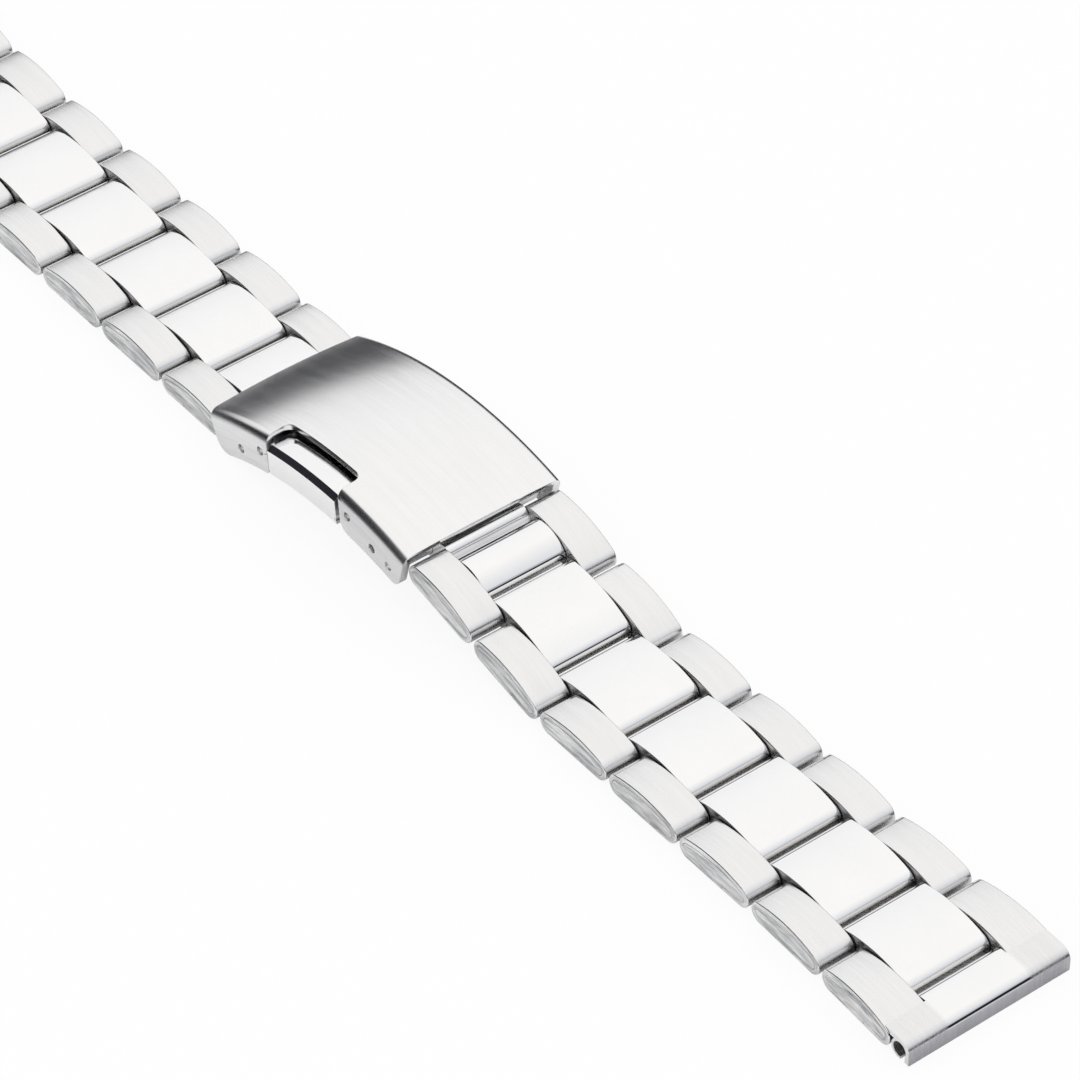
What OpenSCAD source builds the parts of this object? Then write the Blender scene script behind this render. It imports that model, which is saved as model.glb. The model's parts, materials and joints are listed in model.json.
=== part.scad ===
/* [Links] */
// Distance from one hinge pin to the next
pitch = 9.6; // [9.2:0.1:11]
// Gap between two neighbouring links of one line
link_gap = 0.4; // [0.3:0.05:0.6]
// Thickness of a link at the crown of its arched top
link_h = 2.75; // [2.6:0.05:3.0]
// Radius of the rolled ends of a link, drawn round the hinge pin
roll_r = 1.15; // [1.1:0.05:1.25]
// Width of a polished centre link
centre_w = 8.9; // [8:0.1:9.6]
// Width of the straight rows over both outer links
band_w = 16.5; // [15.6:0.1:16.8]
// Width at the outer end of the last row, where the band meets the case
flare_w = 18.1; // [17:0.1:18.6]
// Side play between a centre link and an outer link
side_play = 0.08; // [0.05:0.01:0.12]
// Thickness of the sheet that a link is rolled from
sheet_t = 0.5; // [0.4:0.05:0.6]
// Width of the seam between the layers of the rolled sheet
seam_w = 0.07; // [0.05:0.01:0.1]
// Rows between the clasp and each end piece
rows = 7; // [5:1:8]

/* [Pins] */
// Diameter of the hinge and joining pins of the links
pin_d = 1.0; // [0.8:0.05:1.1]
// Radial clearance of a part that turns on a pin
pin_fit = 0.03; // [0.02:0.01:0.05]
// How far a pin end lies below the side face
pin_sunk = 0.03; // [0.01:0.01:0.1]

/* [End pieces] */
// Width of an end piece, which fits between the lugs of a case
end_w = 17.8; // [17:0.1:18.4]
// Distance from the last hinge pin to the front of an end piece
nose_x = 3.55; // [3.5:0.05:4]
// Height of an end piece over its arched top
end_h = 2.35; // [2.32:0.01:2.5]
// Thickness of the folded sheet of an end piece
end_t = 0.55; // [0.5:0.05:0.6]
// Bore of the rolled tube that takes a case spring bar
end_bore_d = 1.56; // [1.5:0.02:1.6]
// Wall of the rolled tube
end_tube_t = 0.25; // [0.2:0.05:0.3]
// Clearance between an end piece and the last outer links
end_play = 0.08; // [0.06:0.01:0.1]

/* [Clasp cover] */
// Radius of the arched top of the cover
cover_r = 45; // [44:0.5:47]
// Half of the angle that the arched cover spans
cover_half = 19.4; // [19.2:0.1:20]
// Width of the cover
cover_w = 17.8; // [17.6:0.1:18.4]
// Thickness of the top of the cover
cover_t = 0.8; // [0.7:0.05:0.85]
// Thickness of the side flanges
flange_t = 0.9; // [0.7:0.05:0.95]
// Depth of the side flanges below the top
flange_d = 4.6; // [4.5:0.1:4.8]
// Radius of the rounded long edges
edge_r = 0.9; // [0.6:0.1:1.1]
// Radius of the slight arch across the width
crown_r = 113; // [90:1:150]
// Slope of the cover while the bracelet lies on a table
clasp_tilt = 5.85; // [5.6:0.05:6]
// Slope of the rows that lead down from the clasp
row_slope = 12.5; // [12:0.25:13]

/* [Push button] */
// Length of the push button
button_len = 10.2; // [9.6:0.1:10.4]
// Gap at each end of the push button
button_gap = 0.35; // [0.25:0.05:0.45]
// How far the window reaches in from the side face
window_in = 2.8; // [2.6:0.1:3]
// How far the button stands out of the side face
button_proud = 0.15; // [0.05:0.05:0.25]
// Travel of the button when it is pressed
button_travel = 0.9; // [0.6:0.05:0.9]
// Diameter of the pins through the flanges
flange_pin_d = 0.9; // [0.8:0.05:0.95]
// Wire of the two button springs
wire_d = 0.22; // [0.18:0.02:0.24]
// Turns of each button spring
spring_turns = 14; // [10:1:15]

/* [Blades] */
// Thickness of the folding blades
blade_t = 0.7; // [0.6:0.05:0.7]
// Width of the long blade
long_blade_w = 10.4; // [10:0.1:10.6]
// Width of the short blade
short_blade_w = 10; // [9.2:0.1:10.4]
// Depth of the top of the long blade below the top of the cover
blade_depth = 3.5; // [3.4:0.05:3.6]
// Gap between the two folded blades
blade_gap = 0.3; // [0.25:0.05:0.35]

/* [Clasp spring bar] */
// Diameter of the sleeve of the spring bar
bar_d = 1.5; // [1.4:0.05:1.5]
// Distance from the pin of row one back to the spring bar
tongue_reach = 0.4; // [0.3:0.05:0.5]
// Distance from the pin line of row one down to the spring bar
tongue_drop = 1.4; // [1.3:0.05:1.5]

/* [Hidden] */
$fn = 96;

// A link is as long as the pitch less the gap, and its ends are rolled round the pins
link_len = pitch - link_gap;
centre_x0 = -roll_r;
centre_x1 = centre_x0 + link_len;
outer_x1 = pitch + roll_r;
outer_x0 = outer_x1 - link_len;
fixed_x = outer_x0 + roll_r;
outer_y = centre_w / 2 + side_play;
pin_r = pin_d / 2;
sloped_rows = 2;

// The band grows wider over its last two rows
flare_u0 = (rows - 2) * pitch + outer_x0;
flare_u1 = (rows - 1) * pitch + outer_x1;
flare_power = 1.4;
function half_w(u) = band_w / 2
    + (flare_w - band_w) / 2 * pow(max(0, min(1, (u - flare_u0) / (flare_u1 - flare_u0))), flare_power);

// Places are pairs of X and Z; a turn of a degrees lowers the +X end
function turned(a, p) = [p.x * cos(a) + p.y * sin(a), -p.x * sin(a) + p.y * cos(a)];
function polar(a, r) = [r * sin(a), r * cos(a)];

// Hinge pins of the right half, counted from the clasp, with the flat stretch at X = 0
function raw_right_pin(k) = k >= sloped_rows ? [(k - sloped_rows) * pitch, roll_r]
    : raw_right_pin(k + 1) + pitch * [-cos(row_slope), sin(row_slope)];

// The clasp hangs on the spring bar, which passes through the tongue of row one
bar_angle = 17;
adjust_depth = 3.3;
bar_radius = cover_r - adjust_depth;
raw_bar = raw_right_pin(0) + turned(row_slope, [-tongue_reach, -tongue_drop]);
raw_centre = raw_bar - polar(bar_angle - clasp_tilt, bar_radius);

// The left half lies flat and hangs on the short blade
left_angle = -17.95;
left_radius = (roll_r - raw_centre.y) / cos(left_angle - clasp_tilt);
raw_left = raw_centre + polar(left_angle - clasp_tilt, left_radius);

// The origin is under the middle of the whole bracelet
raw_x1 = raw_right_pin(rows).x + nose_x;
raw_x0 = raw_left.x - rows * pitch - nose_x;
shift = [-(raw_x0 + raw_x1) / 2, 0];
function right_pin(k) = raw_right_pin(k) + shift;
function left_pin(k) = raw_left + shift - [k * pitch, 0];
arch_centre = raw_centre + shift;

// Stations round the arch of the cover: angles from its middle, and depths below its top
spare_angle = 13.66;
blade_pin_angle = -13.85;
fold_angle = 9.5;
fold_radius = cover_r - blade_depth - blade_t - blade_gap;
cross_pin_depth = 2.45;
cross_pin_radius = cover_r - cross_pin_depth;
window_mid = -0.35;
window_x = cover_r * sin(window_mid);
cross_pin_spread = 8.93;
cross_angles = [window_mid - cross_pin_spread, window_mid + cross_pin_spread];
flange_pin_r = flange_pin_d / 2;
inner_w = cover_w - 2 * flange_t;
long_r1 = cover_r - blade_depth;
long_r0 = long_r1 - blade_t;
short_r1 = long_r0 - blade_gap;
short_r0 = short_r1 - blade_t;

// Shapes are drawn as sections in X and Z and stretched across the band
module across(y0, y1) {
    translate([0, y1, 0]) rotate([90, 0, 0]) linear_extrude(y1 - y0) children();
}

module cross_rod(at, r, y0, y1) {
    translate([at.x, y0, at.y]) rotate([-90, 0, 0]) cylinder(r = r, h = y1 - y0);
}

module both_sides() {
    children();
    mirror([0, 1, 0]) children();
}

// Section of a link: two rolled ends under an arch that runs into them without a corner
module link_section(x0, x1, h = link_h, inset = 0) {
    reach = (x1 - x0) / 2 - roll_r;
    arch_r = (pow(reach, 2) + pow(h - roll_r, 2) - pow(roll_r, 2)) / (2 * (h - 2 * roll_r));
    lean = asin(reach / (arch_r - roll_r));
    over = [h * sin(lean), h * cos(lean)];
    translate([(x0 + x1) / 2, 0]) {
        for (end = [-1, 1]) translate([end * reach, roll_r]) circle(roll_r - inset);
        intersection() {
            translate([0, h - arch_r]) circle(arch_r - inset);
            polygon([[-reach, inset], [reach, inset], [reach, roll_r], [reach + over.x, roll_r + over.y],
                     [-reach - over.x, roll_r + over.y], [-reach, roll_r]]);
        }
    }
}

// Seam of the rolled sheet: it enters through the underside and runs once round the core
module seam_section(x0, x1) {
    mouth = (x0 + x1) / 2 + roll_r;
    difference() {
        link_section(x0, x1, link_h, sheet_t);
        link_section(x0, x1, link_h, sheet_t + seam_w);
        translate([mouth - link_len / 2, -1]) square([link_len / 2, 1 + roll_r]);
    }
    translate([mouth, -1]) square([seam_w, 1 + sheet_t + seam_w / 2]);
}

// One outer link in the frame of its row, with a side face that follows the flare
module outer_link(row) {
    u0 = (row - 1) * pitch;
    far = flare_w;
    difference() {
        intersection() {
            across(outer_y, far) link_section(outer_x0, outer_x1);
            linear_extrude(2 * link_h, center = true)
                polygon([[outer_x0, outer_y], [outer_x1, outer_y],
                         [outer_x1, half_w(u0 + outer_x1)], [outer_x0, half_w(u0 + outer_x0)]]);
        }
        across(0, far) seam_section(outer_x0, outer_x1);
        cross_rod([fixed_x, roll_r], pin_r, 0, far);
        cross_rod([pitch, roll_r], pin_r, 0, far);
    }
}

module centre_link() {
    difference() {
        across(-centre_w / 2, centre_w / 2) link_section(centre_x0, centre_x1);
        across(-centre_w, centre_w) seam_section(centre_x0, centre_x1);
        cross_rod([0, roll_r], pin_r + pin_fit, -centre_w, centre_w);
        cross_rod([fixed_x, roll_r], pin_r, -centre_w, centre_w);
    }
}

// The centre link next to the clasp is short and carries a tongue with the spring bar tube
tongue_tube_r = bar_d / 2 + 0.3;
tongue_roll_r = 0.85;
tongue_roll_x = 1.75;
short_link_x0 = 3.0;
module clasp_centre_link() {
    bar = [-tongue_reach, roll_r - tongue_drop];
    roll = [tongue_roll_x, roll_r - 0.1];
    run = roll - bar;
    difference() {
        across(-centre_w / 2, centre_w / 2) {
            link_section(short_link_x0, centre_x1);
            translate(bar) circle(tongue_tube_r);
            translate(roll) circle(tongue_roll_r);
            translate(bar) rotate(atan2(run.y, run.x))
                translate([0, -tongue_roll_r]) square([norm(run), 2 * tongue_roll_r]);
            translate([roll.x, roll.y - tongue_roll_r]) square([short_link_x0 + roll_r - roll.x, 1.5 * tongue_roll_r]);
        }
        cross_rod(bar, bar_d / 2 + 0.05, -centre_w, centre_w);
        cross_rod([fixed_x, roll_r], pin_r, -centre_w, centre_w);
    }
}

// The joining pin holds the row together and the hinge pin carries the next row
module row_pins(row) {
    for (x = [fixed_x, pitch]) {
        reach = half_w((row - 1) * pitch + x - pin_r) - pin_sunk;
        cross_rod([x, roll_r], pin_r, -reach, reach);
    }
}

// Rows of the right half slope down from the clasp and then lie flat
module right_row(k) {
    at = right_pin(k - 1);
    translate([at.x, 0, at.y]) rotate([0, k <= sloped_rows ? row_slope : 0, 0])
        translate([0, 0, -roll_r]) children();
}

module left_row(k) {
    translate([left_pin(k - 1).x, 0, 0]) mirror([1, 0, 0]) children();
}

module outer_links(k) color("silver") both_sides() outer_link(k);

// End piece: folded sheet with a hinge knuckle, a front lip and a rolled tube for the case spring bar
tube_r = end_bore_d / 2 + end_tube_t;
tube_at = [roll_r + end_play + tube_r + 0.04, tube_r + 0.02];
module fold_section() {
    difference() {
        link_section(-roll_r, nose_x, end_h);
        link_section(-roll_r, nose_x, end_h, end_t);
        translate([-2 * roll_r, -1]) square([nose_x + 3 * roll_r, 1 + roll_r]);
    }
    translate([nose_x - end_t, 0.02]) square([end_t, roll_r]);
    difference() {
        translate(tube_at) circle(tube_r);
        translate(tube_at) polygon([[0, 0], 2 * tube_r * [cos(80), -sin(80)], 3 * tube_r * [cos(50), -sin(50)],
                                    2 * tube_r * [cos(20), -sin(20)]]);
    }
}

module end_piece() {
    color("silver") difference() {
        union() {
            across(-end_w / 2, end_w / 2) fold_section();
            across(-centre_w / 2, centre_w / 2) {
                translate([0, roll_r]) circle(roll_r);
                translate([0, roll_r]) square([tube_at.x, roll_r / 2]);
            }
        }
        both_sides() cross_rod([0, roll_r], roll_r + end_play, outer_y - side_play, end_w);
        cross_rod([0, roll_r], pin_r + pin_fit, -end_w, end_w);
        cross_rod(tube_at, end_bore_d / 2, -end_w, end_w);
    }
}

// The clasp is drawn round the centre of its arch, with the middle of the cover at the top
module in_clasp() {
    translate([arch_centre.x, 0, arch_centre.y]) rotate([0, -clasp_tilt, 0]) children();
}

module arch_band(r0, r1, a0, a1) {
    intersection() {
        difference() {
            circle(r1, $fn = 360);
            circle(r0, $fn = 360);
        }
        polygon([[0, 0], polar(a0, 2 * r1), polar(a1, 2 * r1)]);
    }
}

module cover_section() {
    half = cover_w / 2;
    difference() {
        intersection() {
            union() {
                translate([cover_r - flange_d, -half]) square([flange_d - edge_r, cover_w]);
                translate([cover_r - flange_d, edge_r - half]) square([flange_d, cover_w - 2 * edge_r]);
                for (side = [-1, 1]) translate([cover_r - edge_r, side * (half - edge_r)]) circle(edge_r);
            }
            translate([cover_r - crown_r, 0]) circle(crown_r, $fn = 720);
        }
        translate([cover_r - flange_d - 1, -inner_w / 2]) square([flange_d + 1 - cover_t, inner_w]);
    }
}

// Plan of a button window, open at the side face and rounded at its inner corners
window_r = 0.8;
module window_plan(len, y0) {
    translate([-len / 2, y0 + window_r]) square([len, cover_w]);
    translate([window_r - len / 2, y0]) square([len - 2 * window_r, cover_w]);
    for (end = [-1, 1]) translate([end * (len / 2 - window_r), y0 + window_r]) circle(window_r);
}

// Cutter for a rounded lower corner of a flange; side -1 rounds a corner that faces left
module corner_cutter(a, side, r, far_y = cover_w) {
    rotate([0, a, 0]) translate([0, 0, cover_r - flange_d]) mirror([side > 0 ? 1 : 0, 0, 0])
        across(-cover_w, far_y) difference() {
            translate([-0.6, -0.6]) square(r + 0.6);
            translate([r, r]) circle(r);
        }
}

module clasp_cover() {
    window_len = button_len + 2 * button_gap;
    edge_angle = asin(window_len / 2 / (cover_r - flange_d));
    color("gainsboro") in_clasp() difference() {
        rotate([90, 0, 0]) rotate([0, 0, 90 - cover_half])
            rotate_extrude(angle = 2 * cover_half, $fn = 360) cover_section();
        mirror([0, 1, 0]) translate([window_x, 0, cover_r - 2 * flange_d])
            linear_extrude(3 * flange_d) window_plan(window_len, cover_w / 2 - window_in);
        corner_cutter(-cover_half, -1, 1.6);
        corner_cutter(cover_half, 1, 1.0);
        corner_cutter(window_mid - edge_angle, 1, 0.4, 0);
        corner_cutter(window_mid + edge_angle, -1, 1.4, 0);
        for (a = cross_angles) cross_rod(polar(a, cross_pin_radius), flange_pin_r, -cover_w, cover_w);
        for (a = [blade_pin_angle, spare_angle, bar_angle])
            cross_rod(polar(a, bar_radius), flange_pin_r, -cover_w, cover_w);
    }
}

module button_cross_pins() {
    reach = cover_w / 2 - pin_sunk;
    color("dimgray") in_clasp() for (a = cross_angles)
        cross_rod(polar(a, cross_pin_radius), flange_pin_r, -reach, reach);
}

// The button is a bevelled cap on a slider that rides on both cross pins and carries a hook
slider_r = 0.85;
slider_inner_y = 4.4;
cap_top = cover_r - cover_t - 0.45;
cap_low = cover_r - flange_d + 0.1;
cap_bevel = 0.5;
cap_chamfer = 0.25;
cap_corners = [0.8, 0.4];
module button_cap(y_in, y_out) {
    low_z = cap_low * cos(asin(button_len / 2 / cap_low));
    intersection() {
        rotate([90, 0, 0]) rotate([0, 0, 70]) rotate_extrude(angle = 40, $fn = 360)
            polygon([[cap_low, -y_in], [cap_low, cap_chamfer - y_out], [cap_low + cap_chamfer, -y_out],
                     [cap_top - cap_bevel, -y_out], [cap_top, cap_bevel - y_out], [cap_top, -y_in]]);
        across(0, cover_w) translate([window_x - button_len / 2, low_z]) {
            translate([0, cap_corners[0]]) square([button_len, flange_d]);
            translate([cap_corners[0], 0]) square([button_len - cap_corners[0] - cap_corners[1], flange_d]);
            translate([1, 1] * cap_corners[0]) circle(cap_corners[0]);
            translate([button_len - cap_corners[1], cap_corners[1]]) circle(cap_corners[1]);
        }
    }
}

module button() {
    y_out = cover_w / 2 + button_proud;
    y_in = cover_w / 2 - window_in + 0.3;
    slider_y = inner_w / 2 - 0.1;
    ends = [for (a = cross_angles) polar(a, cross_pin_radius)];
    plate_z = ends[0].y + slider_r;
    difference() {
        union() {
            button_cap(y_in, y_out);
            across(slider_inner_y, slider_y) {
                for (p = ends) translate(p) circle(slider_r);
                translate([ends[0].x, plate_z - hook_t]) square([ends[1].x - ends[0].x, hook_t]);
            }
            translate([window_x - hook_len / 2, hook_y, plate_z - hook_t])
                cube([hook_len, slider_inner_y - hook_y + 0.5, hook_t]);
            translate([window_x - hook_len / 2, hook_y, hook_z]) cube([hook_len, 0.5, plate_z - hook_z]);
            translate([window_x - hook_len / 2, hook_y, hook_z])
                cube([hook_len, catch_y - catch_lip - 0.06 - hook_y, 0.4]);
        }
        for (p = ends) cross_rod(p, flange_pin_r + pin_fit, 0, cover_w);
    }
}

module push_button() color("whitesmoke") in_clasp() mirror([0, 1, 0]) button();

// The hook of the button reaches down to the catch that stands on the short blade
hook_len = 4;
hook_t = 0.6;
hook_y = 2.0;
hook_z = long_r1 - 0.3;
catch_y = 3.2;
catch_t = 0.6;
catch_lip = 0.4;
catch_lip_t = 0.4;
catch_len = 4.6;
catch_top = long_r1 + 0.6;

// A round wire wound along Y, as one tube with flat ends
spring_rings = 8;
spring_sides = 6;
function coil_point(i, r, turns, len) =
    [r * cos(360 * i / spring_rings), len * (i / (turns * spring_rings) - 0.5), r * sin(360 * i / spring_rings)];
module coil(r, wire, turns, len) {
    last = turns * spring_rings;
    points = [for (i = [0:last]) for (s = [0:spring_sides - 1])
        let (c = coil_point(i, r, turns, len), a = 360 * i / spring_rings, b = 360 * s / spring_sides)
        c + wire / 2 * [cos(a) * cos(b), sin(b), sin(a) * cos(b)]];
    wall = [for (i = [0:last - 1]) for (s = [0:spring_sides - 1])
        let (p = i * spring_sides + s, q = i * spring_sides + (s + 1) % spring_sides)
        each [[p, q, q + spring_sides], [p, q + spring_sides, p + spring_sides]]];
    caps = concat([for (s = [1:spring_sides - 2]) [0, s + 1, s]],
                  [for (s = [1:spring_sides - 2]) [0, s, s + 1] + last * spring_sides * [1, 1, 1]]);
    polyhedron(points, concat(wall, caps));
    gap = min([for (i = [0:last - spring_rings])
        norm(coil_point(i, r, turns, len) - coil_point(i + spring_rings, r, turns, len))]) - wire;
    echo(least_gap_between_turns = gap);
}

button_spring_r = flange_pin_r + 0.06 + wire_d;
module button_springs() {
    y0 = button_travel - slider_inner_y + wire_d / 2 + 0.05;
    y1 = inner_w / 2 - wire_d / 2 - 0.05;
    color("gray") in_clasp() for (a = cross_angles) {
        p = polar(a, cross_pin_radius);
        translate([p.x, (y0 + y1) / 2, p.y]) coil(button_spring_r, wire_d, spring_turns, y1 - y0);
    }
}

// The long blade turns on a pin through the flanges and has a window for the catch
knuckle_r = flange_pin_r + 0.5;
fold_knuckle_r = flange_pin_r + 0.45;
fold_knuckle_y = 3.0;
blade_window = [7.6, 8.0];
module long_blade() {
    hinge = polar(blade_pin_angle, bar_radius);
    fold = polar(fold_angle, fold_radius);
    half = long_blade_w / 2;
    color("lightgray") in_clasp() difference() {
        union() {
            across(-half, half) arch_band(long_r0, long_r1, blade_pin_angle, fold_angle);
            cross_rod(hinge, knuckle_r, 0.15 - inner_w / 2, inner_w / 2 - 0.15);
            both_sides() cross_rod(fold, fold_knuckle_r, fold_knuckle_y, half);
        }
        translate([window_x, 0, long_r0 - 2]) linear_extrude(4) {
            square(blade_window - [0, 1.6], center = true);
            square(blade_window - [1.6, 0], center = true);
            for (x = [-1, 1]) for (y = [-1, 1])
                translate([x * (blade_window.x / 2 - 0.8), y * (blade_window.y / 2 - 0.8)]) circle(0.8);
        }
        cross_rod(fold, fold_knuckle_r + 0.2, -fold_knuckle_y, fold_knuckle_y);
        cross_rod(fold, flange_pin_r, -half - 1, half + 1);
        cross_rod(hinge, flange_pin_r + pin_fit, -cover_w, cover_w);
    }
}

// The short blade folds under the long one, carries the catch and holds the left half of the band
ramp_angle = -13.6;
ear_y = inner_w / 2 - 1;
module short_blade() {
    fold = polar(fold_angle, fold_radius);
    link = polar(left_angle, left_radius);
    half = short_blade_w / 2;
    color("lightgray") in_clasp() difference() {
        union() {
            across(-half, half) arch_band(short_r0, short_r1, ramp_angle, fold_angle);
            across(-ear_y, ear_y) polygon([polar(ramp_angle + 0.4, short_r0 + 0.05), polar(ramp_angle, short_r1),
                polar(left_angle, left_radius - 0.4), polar(left_angle, left_radius - roll_r + 0.05)]);
            both_sides() cross_rod(link, roll_r, outer_y, ear_y);
            cross_rod(fold, fold_knuckle_r, 0.1 - fold_knuckle_y, fold_knuckle_y - 0.1);
            mirror([0, 1, 0]) translate([window_x - catch_len / 2, catch_y, short_r1 - 0.4]) {
                cube([catch_len, catch_t, catch_top - short_r1 + 0.4]);
                translate([0, -catch_lip, catch_top - catch_lip_t - short_r1 + 0.4])
                    cube([catch_len, catch_lip + 0.1, catch_lip_t]);
            }
        }
        cross_rod(link, roll_r + 0.25, -outer_y, outer_y);
        cross_rod(link, pin_r, -cover_w, cover_w);
        cross_rod(fold, flange_pin_r + pin_fit, -cover_w, cover_w);
        both_sides() cross_rod(fold, fold_knuckle_r + 0.2, fold_knuckle_y - 0.05, cover_w);
    }
}

module blade_hinge_pin() {
    reach = cover_w / 2 - pin_sunk;
    color("dimgray") in_clasp() cross_rod(polar(blade_pin_angle, bar_radius), flange_pin_r, -reach, reach);
}

module blade_fold_pin() {
    half = long_blade_w / 2;
    color("dimgray") in_clasp() cross_rod(polar(fold_angle, fold_radius), flange_pin_r, -half, half);
}

module left_link_pin() color("dimgray") in_clasp() cross_rod(polar(left_angle, left_radius), pin_r, -ear_y, ear_y);

// Spring bar of the clasp: a sleeve with a spring and two stepped tips that enter the flanges
sleeve_half = inner_w / 2 - 0.4;
sleeve_bore_r = bar_d / 2 - 0.2;
tip_r = flange_pin_r - 0.04;
tip_foot = 1.4;
module at_bar() {
    p = polar(bar_angle, bar_radius);
    in_clasp() translate([p.x, 0, p.y]) children();
}

module spring_bar_sleeve() {
    color("lightgray") at_bar() difference() {
        cross_rod([0, 0], bar_d / 2, -sleeve_half, sleeve_half);
        cross_rod([0, 0], sleeve_bore_r, 0.5 - sleeve_half, sleeve_half - 0.5);
        cross_rod([0, 0], tip_r + pin_fit, -cover_w, cover_w);
    }
}

module spring_bar_tip() {
    foot_y = sleeve_half - 0.55;
    cross_rod([0, 0], tip_r, foot_y, cover_w / 2 - 0.15);
    cross_rod([0, 0], sleeve_bore_r - pin_fit, foot_y - tip_foot, foot_y);
}

module spring_bar_tip_near() color("whitesmoke") at_bar() mirror([0, 1, 0]) spring_bar_tip();

module spring_bar_tip_far() color("whitesmoke") at_bar() spring_bar_tip();

module spring_bar_spring() {
    len = 2 * (sleeve_half - 0.55 - tip_foot - 1.1);
    color("gray") at_bar() coil(sleeve_bore_r - 0.14, 0.14, 14, len);
}

for (k = [1:rows]) {
    right_row(k) outer_links(k);
    right_row(k) right_centre_link(k);
    right_row(k) color("dimgray") row_pins(k);
    left_row(k) outer_links(k);
    left_row(k) color("white") centre_link();
    left_row(k) color("dimgray") row_pins(k);
}
module right_centre_link(k) {
    color("white") if (k == 1) clasp_centre_link();
    else centre_link();
}
right_row(rows + 1) end_piece();  // right_end_piece
left_row(rows + 1) end_piece();  // left_end_piece
clasp_cover();
push_button();
button_cross_pins();
button_springs();
long_blade();
short_blade();
blade_hinge_pin();
blade_fold_pin();
left_link_pin();
spring_bar_sleeve();
spring_bar_tip_near();
spring_bar_tip_far();
spring_bar_spring();
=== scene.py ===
import json
import math

import bmesh
import bpy
import numpy as np
from mathutils import Matrix, Vector


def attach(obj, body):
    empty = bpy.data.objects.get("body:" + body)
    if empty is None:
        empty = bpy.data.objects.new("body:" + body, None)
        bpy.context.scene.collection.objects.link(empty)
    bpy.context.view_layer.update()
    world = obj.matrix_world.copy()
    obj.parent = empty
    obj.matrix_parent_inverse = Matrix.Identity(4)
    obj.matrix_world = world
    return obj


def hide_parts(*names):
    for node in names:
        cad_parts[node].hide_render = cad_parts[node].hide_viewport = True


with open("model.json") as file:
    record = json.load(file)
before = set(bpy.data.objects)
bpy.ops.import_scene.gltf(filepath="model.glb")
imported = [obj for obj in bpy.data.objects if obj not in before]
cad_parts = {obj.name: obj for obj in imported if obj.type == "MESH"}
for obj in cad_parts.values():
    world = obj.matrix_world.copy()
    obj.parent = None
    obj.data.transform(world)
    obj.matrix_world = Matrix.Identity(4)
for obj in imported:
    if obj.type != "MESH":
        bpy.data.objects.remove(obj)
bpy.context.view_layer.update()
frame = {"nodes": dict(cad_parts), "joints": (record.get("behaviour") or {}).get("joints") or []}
nodes = frame["nodes"]
hinge_at = {joint["name"]: joint["pos_m"] for joint in frame["joints"] if "pos_m" in joint}

# Camera. The photograph is a long-lens product shot: the bracelet runs from
# the upper left to the lower right and is seen from about 43 degrees above.
# The place and the focal length come from a fit to corners of the links.
LOOK_AZIMUTH, LOOK_DOWN, LOOK_ROLL = math.radians(-51.31), math.radians(42.80), math.radians(0.627)
LOOK_AT = Vector((0.01613, 0.00532, 0.00197))
LOOK_FROM_DISTANCE = 0.5374
look = Vector((
    math.cos(LOOK_DOWN) * math.sin(LOOK_AZIMUTH),
    math.cos(LOOK_DOWN) * math.cos(LOOK_AZIMUTH),
    -math.sin(LOOK_DOWN),
))
level = look.cross(Vector((0, 0, 1))).normalized()
above = level.cross(look)
across = level * math.cos(LOOK_ROLL) + above * math.sin(LOOK_ROLL)
upward = above * math.cos(LOOK_ROLL) - level * math.sin(LOOK_ROLL)
camera_data = bpy.data.cameras.new("product_camera")
camera_data.sensor_width = 36
camera_data.lens = 199.6
camera_data.clip_start = 0.01
camera = bpy.data.objects.new("product_camera", camera_data)
bpy.context.scene.collection.objects.link(camera)
camera.matrix_world = (
    Matrix.Translation(LOOK_AT - look * LOOK_FROM_DISTANCE)
    @ Matrix((across, upward, -look)).transposed().to_4x4()
)
bpy.context.scene.camera = camera
bpy.context.scene.view_settings.view_transform = "Standard"

# Studio. A white tent stands over the bracelet. Its wall is dark low down and
# white from about 16 degrees up, greyer towards the case end, and open at the
# camera's left, where bevels pick up black. The camera sees an even white.
TENT_OPENING = (-0.573, -0.679, 0.42)
TENT_GREY_END = (0.883, 0.469, 0.0)


def wire(tree, made, into):
    """Joins the output socket made to the input socket into."""
    tree.links.new(made, into)


def feed(tree, socket, value):
    """Sets the socket to a number, colour or vector, or wires another socket into it."""
    if isinstance(value, bpy.types.NodeSocket):
        wire(tree, value, socket)
    else:
        socket.default_value = value


def sums(tree, kind, *values):
    """A Math node of this kind on values or sockets; gives its output."""
    node = tree.nodes.new("ShaderNodeMath")
    node.operation = kind
    for socket, value in zip(node.inputs, values):
        feed(tree, socket, value)
    return node.outputs[0]


def shades(tree, value, stops):
    """A smooth colour ramp with (place, red, green, blue) stops, driven by value."""
    node = tree.nodes.new("ShaderNodeValToRGB")
    elements = node.color_ramp.elements
    while len(elements) < len(stops):
        elements.new(0.5)
    for element, (place, *tone) in zip(elements, stops):
        element.position = place
        element.color = (*tone, 1)
    wire(tree, value, node.inputs[0])
    return node.outputs[0]


def blend(tree, factor, first, second, kind="MIX"):
    """Mixes two colours by factor; the kind MULTIPLY darkens the first by the second."""
    node = tree.nodes.new("ShaderNodeMix")
    node.data_type = "RGBA"
    node.blend_type = kind
    feed(tree, node.inputs[0], factor)
    for socket, value in ((node.inputs[6], first), (node.inputs[7], second)):
        feed(tree, socket, value if isinstance(value, bpy.types.NodeSocket) else (*value, 1))
    return node.outputs[2]


def facing(tree, direction, towards):
    """How far a direction points towards another one: the cosine of the angle between them."""
    node = tree.nodes.new("ShaderNodeVectorMath")
    node.operation = "DOT_PRODUCT"
    wire(tree, direction, node.inputs[0])
    node.inputs[1].default_value = Vector(towards).normalized()
    return node.outputs["Value"]


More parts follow.
